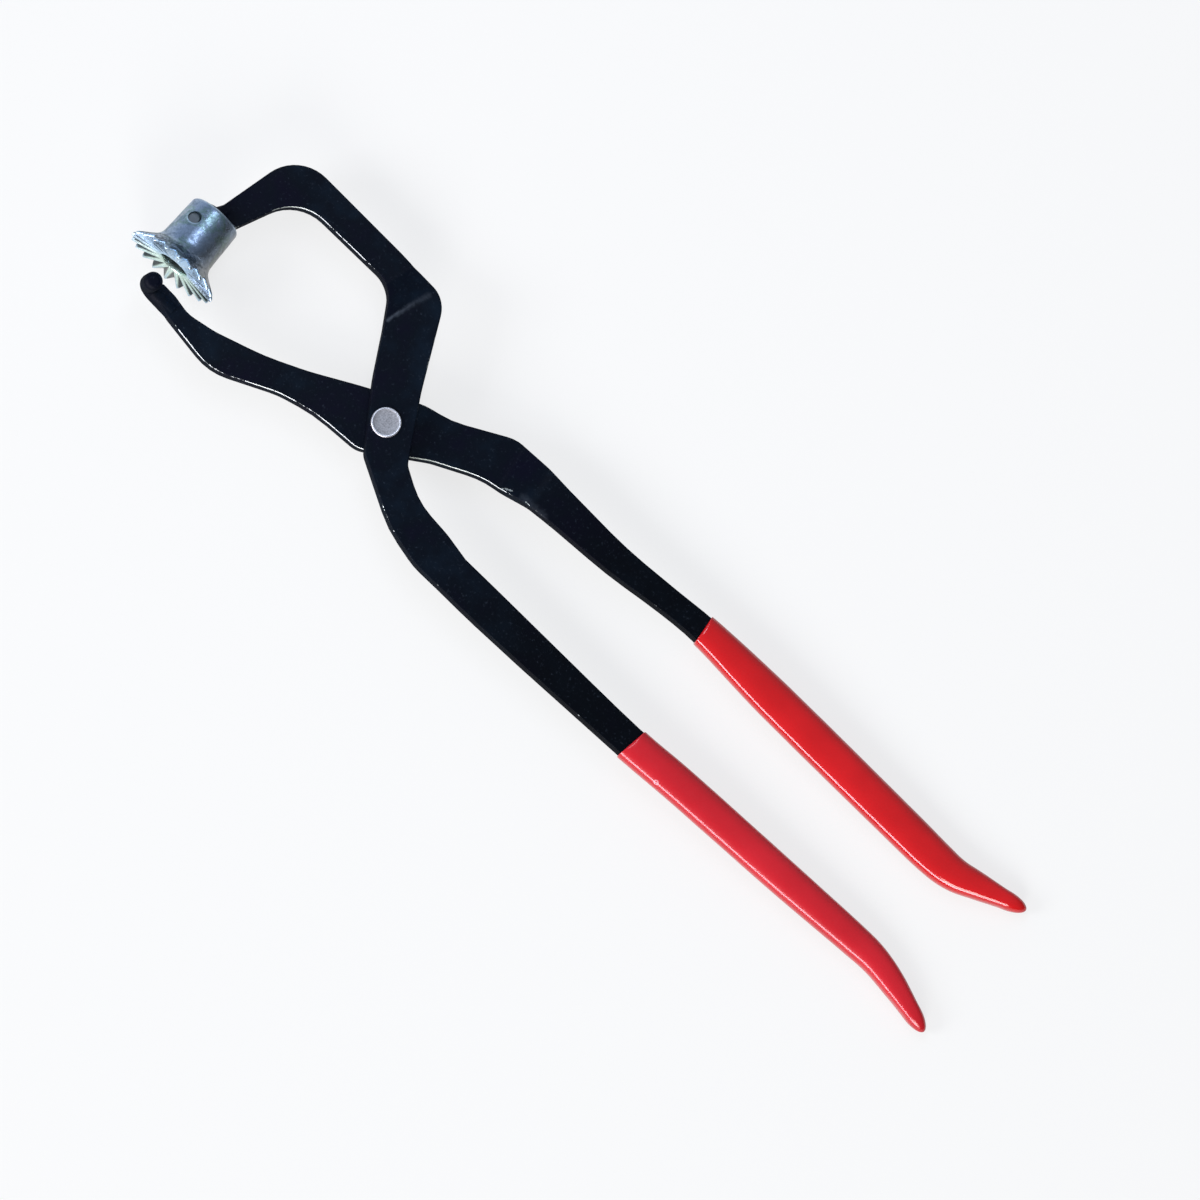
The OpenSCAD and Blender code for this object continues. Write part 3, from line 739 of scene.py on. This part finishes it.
def markCrown(crown, shape):
    # how much each point belongs to the toothed mouth, to the lighter ridges' tops, to the hollows
    # that take painted shade, and to the flare of the bell
    lean = math.radians(shape["lean"])
    axis = Vector((math.sin(lean), -math.cos(lean), 0))
    origin = Vector(shape["place"])
    slope = math.tan(math.radians(shape["bellAngle"]))
    pitch = 2 * math.pi / shape["grooves"]
    steep = grooveSteepness(shape)
    holeStart, holeEnd = crownMarks["holeAlong"]
    marks = {"mouth": [], "ridge": [], "hollow": [], "flare": []}
    for vert in crown.data.vertices:
        away = Vector(vert.co) / mm - origin
        z = away.dot(axis)
        flat = away - axis * z
        r = flat.length
        turn = math.atan2(flat.z, flat.x * math.cos(lean) + flat.y * math.sin(lean))
        upward = flat.z / max(r, 0.1)
        depth = shape["length"] - z
        backDepth = shape["rimThickness"] + (shape["rimRadius"] - r) / slope
        mouth = rising(backDepth - depth, *crownMarks["mouth"]) * (r > shape["cupRadius"] - 0.1)
        rim = rising(r - shape["rimRadius"], *crownMarks["rim"])
        # 0 in a groove's bottom, 1 on a ridge
        across = abs(turn / pitch % 1.0 - 0.5) * 2
        outward = rising(r - shape["dishRadius"], *crownMarks["ridgeOut"])
        ridge = rising(across, *crownMarks["ridge"]) * mouth * outward
        endEdge = clamped(1 - abs(z - 0.45) / 0.5) * (r > shape["boreRadius"] + 2)
        # painted shade lies in the grooves where their sides are below the dish, in the cup and in
        # the hole
        dish, bottom = mouthAt(shape, r)
        below = bottom - r * math.sin(across * pitch / 2) / steep - dish
        litUpward = crownMarks["litUpwardShare"] * rising(upward, *crownMarks["litUpward"])
        grooveShade = rising(below, *crownMarks["grooveShade"]) * mouth * (crownMarks["grooveShadeShare"] - litUpward)
        cup = rising(shape["cupRadius"] - r, *crownMarks["cup"])
        cup *= rising(depth, *crownMarks["cupDeep"]) * (1 - crownMarks["cupLow"] * max(0, -upward))
        hole = rising(shape["socketEndRadius"] - r, *crownMarks["hole"]) * (holeStart < z < holeEnd)
        flare = rising(r - shape["socketBaseRadius"], *crownMarks["flare"])
        flare *= (1 - mouth) * (1 - rim) * (z > crownMarks["flareStart"])
        marks["mouth"].append(mouth)
        marks["ridge"].append(max(ridge, rim, endEdge * crownMarks["endEdge"]))
        marks["hollow"].append(max(grooveShade, cup, hole))
        marks["flare"].append(flare)
    for key, values in marks.items():
        crown.data.attributes.new(key, "FLOAT", "POINT").data.foreach_set("value", values)


zincSettings = {
    "base": "#94a8c2",
    "shade": "#52657b",
    "yellowish": "#a5a58f",
    "greenish": "#7f9c9c",
    "mouthHigh": "#b6d6f0",       # the mouth's faces are painted paler as lit faces: bluer on the +Z side, greener on the -Z side
    "mouthLow": "#d3ebdf",
    "mouthAlong": (0, 7),         # heights between which it changes
    # lighter colour on the ridges, the rim and the socket's end edge: rubbed zinc and a painted
    # highlight
    "ridge": "#afc6d8",
    "hollow": "#1a222b",          # painted shade in the grooves, the cup and the pin hole
    # painted shade on the bell's flare, in patches
    "flareShade": "#1f3440",
    "shadedSide": "#6d6a62",        # painted shade on the crown's +X side
    "shadedAlong": (-77, -70.5),    # where it sets in, along X
    "shadedShare": 0.85,
    "thinShare": 0.6,             # how far the plating's thin blotches go to the shade
    "holeRing": (0.6, 0.25),      # painted highlight round the pin hole: its outer and inner edge
    "roughness": 0.3,
    "grainSize": 0.8,             # sand-like skin of the casting
    "blotchSize": 2.4,
    "blotchDepth": 1.8,
    "tintSize": 8.0,
    "relief": (0.6, 0.07),
}


def makeZinc(settings, shape):
    # die-cast zinc with a thin passivated plating: pale bluish metal with a sandy skin, blotched
    # where the plating is thin, with yellow and green tints; its ridges, rim and edges are lighter,
    # rubbed bright with a painted highlight, and it carries painted shade in its hollows, on its
    # flare and on its +X side
    material, tree = newMaterial("platedZincCasting")
    place = addNode(tree, "TexCoord").outputs["Object"]
    cloud = addNode(tree, "TexNoise", {"Scale": perMetre(settings["tintSize"]), "Detail": 4.0,
                    "Roughness": 0.6, "Distortion": 0.6}, {"Vector": place})
    blotch = addNode(tree, "TexNoise", {"Scale": perMetre(settings["blotchSize"]), "Detail": 5.0,
                     "Roughness": 0.68, "Distortion": 1.1}, {"Vector": place})
    grain = addNode(tree, "TexNoise", {"Scale": perMetre(settings["grainSize"]), "Detail": 4.0,
                    "Roughness": 0.7}, {"Vector": place})
    base = settings["base"]
    tint = addNode(tree, "ValToRGB", {"ramp": [
        (0.36, base), (0.5, base), (0.58, settings["greenish"]), (0.64, base),
        (0.76, settings["yellowish"])]}, {0: cloud})
    thin = addNode(tree, "MapRange", {"From Min": 0.46, "From Max": 0.66,
                   "To Max": settings["thinShare"]}, {"Value": blotch})
    skin = addNode(tree, "Mix", {"data_type": "RGBA", 7: settings["shade"]}, {0: thin, 6: tint})
    # painted shade: the crown's +X side is darker
    axes = addNode(tree, "SeparateXYZ", {}, {0: place})
    start, end = settings["shadedAlong"]
    side = addNode(tree, "MapRange", {"interpolation_type": "SMOOTHSTEP", "From Min": start * mm,
                   "From Max": end * mm, "To Max": settings["shadedShare"]},
                   {"Value": axes.outputs["X"]})
    sideShaded = addNode(tree, "Mix", {"data_type": "RGBA", 7: settings["shadedSide"]},
                     {0: side, 6: skin.outputs[2]})
    start, end = settings["mouthAlong"]
    high = addNode(tree, "MapRange", {"interpolation_type": "SMOOTHSTEP", "From Min": start * mm,
                   "From Max": end * mm}, {"Value": axes.outputs["Z"]})
    mouthTint = addNode(tree, "Mix", {"data_type": "RGBA", 6: settings["mouthLow"],
                        7: settings["mouthHigh"]}, {0: high})
    marks = {mark: addNode(tree, "Attribute", {"attribute_name": mark}).outputs["Fac"]
             for mark in ("mouth", "ridge", "hollow", "flare")}
    # painted shade lies in patches on the flare
    patchy = addNode(tree, "MapRange", {"From Min": 0.42, "From Max": 0.58, "To Min": 0.1,
                     "To Max": 0.9}, {"Value": blotch})
    flareShade = addNode(tree, "Math", {"operation": "MULTIPLY"}, {0: marks["flare"], 1: patchy})
    colour = addNode(tree, "Mix", {"data_type": "RGBA", 7: settings["flareShade"]},
                     {0: flareShade, 6: sideShaded.outputs[2]})
    # painted light: the mouth's faces take the paler mouth colour
    colour = addNode(tree, "Mix", {"data_type": "RGBA"},
                     {0: marks["mouth"], 6: colour.outputs[2], 7: mouthTint.outputs[2]})
    # the hollows take painted shade, and the ridges a painted highlight over rubbed zinc
    for mark in ("hollow", "ridge"):
        colour = addNode(tree, "Mix", {"data_type": "RGBA", 7: settings[mark]},
                         {0: marks[mark], 6: colour.outputs[2]})
    # painted highlight on the pin hole's edge, on its -Y side
    holeX, holeY, _ = crownToTool(shape, shape["pinOffset"], 0, shape["pinAlong"])
    away = awayFromLine(tree, place, (holeX, holeY, -20), (holeX, holeY, 20))
    outer, inner = (shape["pinRadius"] + edge for edge in settings["holeRing"])
    ring = addNode(tree, "MapRange", {"interpolation_type": "SMOOTHSTEP", "From Min": outer * mm,
                   "From Max": inner * mm}, {"Value": away})
    below = addNode(tree, "MapRange", {"From Min": (holeY - 0.5) * mm,
                    "From Max": (holeY - 1.7) * mm}, {"Value": axes.outputs["Y"]})
    crescent = addNode(tree, "Math", {"operation": "MULTIPLY"}, {0: ring, 1: below})
    colour = addNode(tree, "Mix", {"data_type": "RGBA", 7: settings["ridge"]},
                     {0: crescent, 6: colour.outputs[2]})
    grainShade = addNode(tree, "MapRange", {"From Min": 0.3, "From Max": 0.7, "To Min": 0.8,
                         "To Max": 1.12}, {"Value": grain})
    grained = addNode(tree, "VectorMath", {"operation": "SCALE"},
                      {0: colour.outputs[2], "Scale": grainShade})
    roughness = addNode(tree, "MapRange", {"From Min": 0.35, "From Max": 0.65,
                        "To Min": settings["roughness"] - 0.06,
                        "To Max": settings["roughness"] + 0.16}, {"Value": blotch})
    height = addNode(tree, "Math", {"operation": "MULTIPLY_ADD", 1: settings["blotchDepth"]},
                     {0: blotch, 2: grain})
    finishMaterial(tree, height, settings["relief"], {"Metallic": 1.0},
                   {"Base Color": grained, "Roughness": roughness})
    return material


makeCrown(crownShape, makeZinc(zincSettings, crownShape))


pinSettings = {"chamfer": 0.3, "colour": "#666d72", "roughness": 0.5, "grainSize": 0.5,
               "relief": (0.4, 0.03), "sides": 40, "smoothAngle": 38}


def makePinSteel(settings):
    # plain steel, turned and handled: dull grey with fine mottling
    material, tree = newMaterial("drawnSteelPin")
    place = addNode(tree, "TexCoord").outputs["Object"]
    grain = addNode(tree, "TexNoise", {"Scale": perMetre(settings["grainSize"]), "Detail": 5.0,
                    "Roughness": 0.7}, {"Vector": place})
    shade = addNode(tree, "MapRange", {"From Min": 0.3, "From Max": 0.7, "To Min": 0.86,
                    "To Max": 1.1}, {"Value": grain})
    colour = addNode(tree, "VectorMath", {"operation": "SCALE",
                     0: linearColour(settings["colour"])[:3]}, {"Scale": shade})
    roughness = addNode(tree, "MapRange", {"From Min": 0.3, "From Max": 0.7,
                        "To Min": settings["roughness"] - 0.05,
                        "To Max": settings["roughness"] + 0.1}, {"Value": grain})
    finishMaterial(tree, grain, settings["relief"], {"Metallic": 1.0},
                   {"Base Color": colour, "Roughness": roughness})
    return material


def lathe(profile, sides):
    # profile goes from the axis to the axis, as radius and height
    points = [(0, 0, profile[0][1])]
    for r, z in profile[1:-1]:
        for k in range(sides):
            a = 2 * math.pi * k / sides
            points.append((r * math.cos(a), r * math.sin(a), z))
    points.append((0, 0, profile[-1][1]))
    rings = len(profile) - 2
    faces = [(0, 1 + (k + 1) % sides, 1 + k) for k in range(sides)]
    faces += [tuple(i + 1 for i in f) for f in ringFaces(rings, sides)]
    last = 1 + (rings - 1) * sides
    faces += [(last + k, last + (k + 1) % sides, len(points) - 1) for k in range(sides)]
    return points, faces


def makePin(shape, settings):
    half, chamfer = shape["pinLength"] / 2, settings["chamfer"]
    # a little smaller than its hole
    r = shape["pinRadius"] - 0.02
    low = [(0, -half), (r - chamfer - 0.3, -half), (r - chamfer, -half),
           (r - chamfer / 3, -half + chamfer / 3), (r, -half + chamfer)]
    points, faces = lathe(low + [(x, -z) for x, z in reversed(low)], settings["sides"])
    x0, y0, z0 = crownToTool(shape, shape["pinOffset"], 0, shape["pinAlong"])
    pin = makePiece("crossPin", [(x0 + x, y0 + y, z0 + z) for x, y, z in points], faces,
                    makePinSteel(settings), "crown_head", "crown_pin")
    shadeSmooth(pin, settings["smoothAngle"])


makePin(crownShape, pinSettings)
print("crown and pin made")


# The rivet's heads are pressed flat, with a slightly raised edge.
rivetSettings = {
    "shankRadius": 3.5, "headRadius": 4.7, "headHeight": 1.0,
    "stack": 12.1,                # from the lower head's face to the upper one's
    "edgeRound": 0.3, "rimWidth": 0.5, "rimHeight": 0.12, "sides": 64, "smoothAngle": 40,
    "face": "#b6babf", "stain": "#9b9b9f", "rim": "#cdced3", "roughness": 0.5,
    "grainSize": 0.5, "stainSize": 3.5, "relief": (0.5, 0.04),
}


def makeRivetSteel(settings):
    # mild steel, pressed cold: the face is dull and mottled, and its raised rim is polished, with a
    # painted highlight on it
    material, tree = newMaterial("pressedRivetSteel")
    place = addNode(tree, "TexCoord").outputs["Object"]
    grain = addNode(tree, "TexNoise", {"Scale": perMetre(settings["grainSize"]), "Detail": 4.0,
                    "Roughness": 0.7}, {"Vector": place})
    stain = addNode(tree, "TexNoise", {"Scale": perMetre(settings["stainSize"]), "Detail": 3.0},
                    {"Vector": place})
    shade = addNode(tree, "MapRange", {"From Min": 0.35, "From Max": 0.65, "To Min": 0.62,
                    "To Max": 1.16}, {"Value": grain})
    face = addNode(tree, "Mix", {"data_type": "RGBA", 6: settings["face"], 7: settings["stain"]},
                   {0: stain})
    mottled = addNode(tree, "VectorMath", {"operation": "SCALE"},
                      {0: face.outputs[2], "Scale": shade})
    flat = addNode(tree, "VectorMath", {"operation": "MULTIPLY", 1: (1, 1, 0)}, {0: place})
    away = addNode(tree, "VectorMath", {"operation": "LENGTH"}, {0: flat})
    inner = settings["headRadius"] - settings["edgeRound"] - settings["rimWidth"]
    # the rim is lower in roughness and painted lighter, a painted highlight over polished steel
    rim = addNode(tree, "MapRange", {"interpolation_type": "SMOOTHSTEP",
                  "From Min": (inner - 0.15) * mm, "From Max": (inner + 0.2) * mm, "To Max": 0.85},
                  {"Value": away.outputs["Value"]})
    colour = addNode(tree, "Mix", {"data_type": "RGBA", 7: settings["rim"]}, {0: rim, 6: mottled})
    roughness = addNode(tree, "MapRange", {"To Min": settings["roughness"] + 0.1,
                        "To Max": settings["roughness"] - 0.15}, {"Value": rim})
    finishMaterial(tree, grain, settings["relief"], {"Metallic": 1.0},
                   {"Base Color": colour.outputs[2], "Roughness": roughness})
    return material


def makeRivet(settings):
    radius, height, sunk = settings["headRadius"], settings["headHeight"], settings["rimHeight"]
    rounding = settings["edgeRound"]
    flatEnd = radius - rounding
    rimStart = flatEnd - settings["rimWidth"]
    low = [(0, sunk), (2.0, sunk), (rimStart - 0.15, sunk), (rimStart, sunk * 0.6),
           (rimStart + 0.12, 0.02), (flatEnd - 0.1, 0)]
    low += arcPoints(flatEnd, rounding, rounding, (-90, -68, -45, -22, 0))
    low += [(radius, height - 0.12), (radius - 0.1, height), (settings["shankRadius"], height)]
    high = [(r, settings["stack"] - z) for r, z in reversed(low)]
    points, faces = lathe(low + high, settings["sides"])
    rivet = makePiece("pivotRivetSteel", points, faces, makeRivetSteel(settings), "crown_side",
                      "pivot_rivet")
    shadeSmooth(rivet, settings["smoothAngle"])


makeRivet(rivetSettings)
print("rivet made")


# The handles are dipped in soft vinyl. Stations are place along X, place along Y and bar width.
crownGrip = {
    "stations": [(90, -20.6, 11), (120, -20.5, 9.8), (142, -19.5, 9.7), (182, -18.5, 9.3),
                 (210, -17.6, 8.3), (220, -17.7, 7.4), (229, -19.3, 6.1), (238, -21.6, 4)],
    "start": 120.4, "slant": 8.0, "sagPlace": 9.1,
    "colour": "#dc1d2b", "deep": "#cf1724", "roughness": 0.2,
    "nicks": [{"at": (134.5, -24.5, 11.4), "size": 0.9}],
}
hookGrip = {
    "stations": [(80, 18.3, 9.4), (100, 20, 8.1), (116, 20.9, 8.5), (144, 20.1, 10.6),
                 (196, 18.7, 10.5), (212, 18.3, 10), (220, 18.8, 8.8), (227, 20.9, 7),
                 (236, 23.7, 4.2)],
    "start": 113.0, "slant": -8.0, "sagPlace": 3.7,
    "colour": "#e4161b", "deep": "#d21015", "roughness": 0.11,
    "nicks": [],
}
gripShape = {
    "edge": 0.9, "face": 1.5,     # the coat's thickness on the bar's narrow and wide sides
    "barHalf": 2.5, "middleZ": 8.6,
    "nose": 7.9, "tail": 20.0,
    "square": 2.6, "squareTail": 3.0,
    "slantLength": 12,            # the dip line's slant is gone after this
    "sag": 0.05, "sagSize": 11,
    # the lip, from inside round its edge: how far along, and share of the coat's thickness
    "lip": ((4.0, 0.03), (0.02, 0.03), (-0.06, 0.2), (-0.04, 0.5), (0.1, 0.82), (0.4, 1.02)),
    "sides": 44, "step": 1.6, "noseRings": 9, "fineSteps": 24, "smoothAngle": 60,
}


def handleCurve(stations, steps):
    # a smooth curve through the stations, widths included
    out = []
    n = len(stations)
    for i in range(n - 1):
        a, b = Vector(stations[max(i - 1, 0)]), Vector(stations[i])
        c, d = Vector(stations[i + 1]), Vector(stations[min(i + 2, n - 1)])
        for k in range(steps):
            t = k / steps
            out.append((2 * b + (c - a) * t + (2 * a - 5 * b + 4 * c - d) * t * t
                        + (3 * b - a - 3 * c + d) * t ** 3) / 2)
    out.append(Vector(stations[-1]))
    return out


def evenPath(fine, start, step):
    # even steps from the dip line to the bar's end
    path = [p for p in fine if p.x >= start]
    even, carry = [path[0]], 0.0
    for p, q in zip(path, path[1:]):
        carry += (q - p).xy.length
        if carry >= step:
            even.append(q)
            carry = 0.0
    even.append(path[-1])
    return even


def gripRing(section, sides, middleZ):
    # one rounded oblong across the handle
    centre, along, halfWide, halfThick, shear, square = section
    across = Vector((-along.y, along.x))
    ring = []
    for k in range(sides):
        a = 2 * math.pi * k / sides
        u = halfWide * math.copysign(abs(math.cos(a)) ** (2 / square), math.cos(a))
        v = halfThick * math.copysign(abs(math.sin(a)) ** (2 / square), math.sin(a))
        x = centre.x + across.x * u + along.x * shear * u
        y = centre.y + across.y * u + along.y * shear * u
        ring.append((x, y, middleZ + v))
    return ring


def gripSections(grip, shape):
    even = evenPath(handleCurve(grip["stations"], shape["fineSteps"]), grip["start"], shape["step"])
    tailX = even[-1].x - shape["tail"]
    slant = math.tan(math.radians(grip["slant"]))
    coat = []
    for i, p in enumerate(even):
        before, after = even[max(i - 1, 0)], even[min(i + 1, len(even) - 1)]
        along = (after - before).xy.normalized()
        shear = slant * (1 - min(1.0, (p.x - grip["start"]) / shape["slantLength"]))
        thin = rising(p.x, tailX, shape["tail"])
        # the coat is a little uneven, as it ran before it set
        ran = noise.noise(Vector((p.x / shape["sagSize"], p.y, grip["sagPlace"]))) - 0.5
        sag = ran * shape["sag"]
        wide = p.z / 2 + shape["edge"] + sag
        thick = shape["barHalf"] + shape["face"] + (shape["edge"] - shape["face"]) * thin + sag
        square = shape["square"] + (shape["squareTail"] - shape["square"]) * thin
        coat.append((p.xy, along, wide, thick, shear, square))
    centre, along, wide, thick, shear, square = coat[0]
    barHalfWide, barHalf = even[0].z / 2, shape["barHalf"]
    lip = []
    for ahead, share in shape["lip"]:
        corner = 9.0 if share < 0.1 else shape["square"] + 5 * (1 - share)
        lip.append((centre + along * ahead, along, barHalfWide + (wide - barHalfWide) * share,
                    barHalf + (thick - barHalf) * share, shear, corner))
    centre, along, wide, thick, shear, square = coat[-1]
    nose = []
    for k in range(1, shape["noseRings"]):
        share = math.sin(math.pi / 2 * k / shape["noseRings"])
        narrow = math.sqrt(1 - share * share)
        nose.append((centre + along * shape["nose"] * share, along, wide * narrow, thick * narrow,
                     0, square + (2 - square) * share))
    return lip + coat[1:] + nose, centre + along * shape["nose"]


def makeGrip(name, grip, shape, material, body, replaced):
    sections, tip = gripSections(grip, shape)
    sides = shape["sides"]
    points = [p for section in sections for p in gripRing(section, sides, shape["middleZ"])]
    faces = ringFaces(len(sections), sides)
    points.append((tip.x, tip.y, shape["middleZ"]))
    last = (len(sections) - 1) * sides
    faces += [(last + k, last + (k + 1) % sides, len(points) - 1) for k in range(sides)]
    # the inner end is closed inside the bar
    faces.append(tuple(reversed(range(sides))))
    piece = makePiece(name, points, faces, material, body, replaced)
    shadeSmooth(piece, shape["smoothAngle"])
    smooth = piece.modifiers.new("fineCurve", "SUBSURF")
    smooth.levels = smooth.render_levels = 1
    print(name, len(points), "points")


vinylSettings = {
    "ior": 1.5,
    "specular": 0.62,
    "cloudSize": 26.0,
    "rippleSize": 16.0,
    "dustSize": 0.8,
    "dustDepth": 0.003,
    "nickDepth": 1.2,
    "nickEdge": "#f0a3b0",        # painted highlight round a nick
    "relief": (0.5, 0.06),
}


def makeVinyl(name, grip, settings):
    # plastisol, a soft vinyl that the handles are dipped in: bright red, glossy, with a skin that
    # is slightly rippled
    material, tree = newMaterial(name)
    place = addNode(tree, "TexCoord").outputs["Object"]
    cloud = addNode(tree, "TexNoise", {"Scale": perMetre(settings["cloudSize"]), "Detail": 3.0},
                    {"Vector": place})
    colour = addNode(tree, "ValToRGB", {"ramp": [(0.35, grip["deep"]), (0.65, grip["colour"])]},
                     {0: cloud}).outputs[0]
    ripple = addNode(tree, "TexNoise", {"Scale": perMetre(settings["rippleSize"]), "Detail": 2.0},
                     {"Vector": place})
    dust = addNode(tree, "TexNoise", {"Scale": perMetre(settings["dustSize"]), "Detail": 3.0},
                   {"Vector": place})
    roughness = addNode(tree, "MapRange", {"From Min": 0.35, "From Max": 0.75,
                        "To Min": grip["roughness"] - 0.02, "To Max": grip["roughness"] + 0.07},
                        {"Value": dust})
    height = addNode(tree, "Math", {"operation": "MULTIPLY_ADD", 1: settings["dustDepth"]},
                     {0: dust, 2: ripple})
    for nick in grip["nicks"]:
        size = nick["size"] * mm
        away = addNode(tree, "VectorMath", {"operation": "DISTANCE",
                       1: tuple(c * mm for c in nick["at"])}, {0: place}).outputs["Value"]
        dent = addNode(tree, "MapRange", {"interpolation_type": "SMOOTHSTEP",
                       "From Min": size * 0.4, "From Max": size,
                       "To Min": -settings["nickDepth"], "To Max": 0.0}, {"Value": away})
        height = addNode(tree, "Math", {"operation": "ADD"}, {0: height, 1: dent})
        # a painted highlight in a ring round the dent
        edge = addNode(tree, "Math", {"operation": "COMPARE", 1: size * 0.8, 2: size * 0.22},
                       {0: away})
        pale = addNode(tree, "Math", {"operation": "MULTIPLY", 1: 0.5}, {0: edge})
        colour = addNode(tree, "Mix", {"data_type": "RGBA", 7: settings["nickEdge"]},
                         {0: pale, 6: colour}).outputs[2]
    finishMaterial(tree, height, settings["relief"],
                   {"IOR": settings["ior"], "Specular IOR Level": settings["specular"]},
                   {"Base Color": colour, "Roughness": roughness})
    return material


for name, grip, vinylName, body, node in (
        ("crownLeverGripVinyl", crownGrip, "dippedVinylCrownLever", "crown_side",
         "crown_lever_grip"),
        ("hookLeverGripVinyl", hookGrip, "dippedVinylHookLever", "hook_side",
         "hook_lever_grip")):
    makeGrip(name, grip, gripShape, makeVinyl(vinylName, grip, vinylSettings), body, node)
print("grips made")


scene.view_settings.view_transform = "Standard"
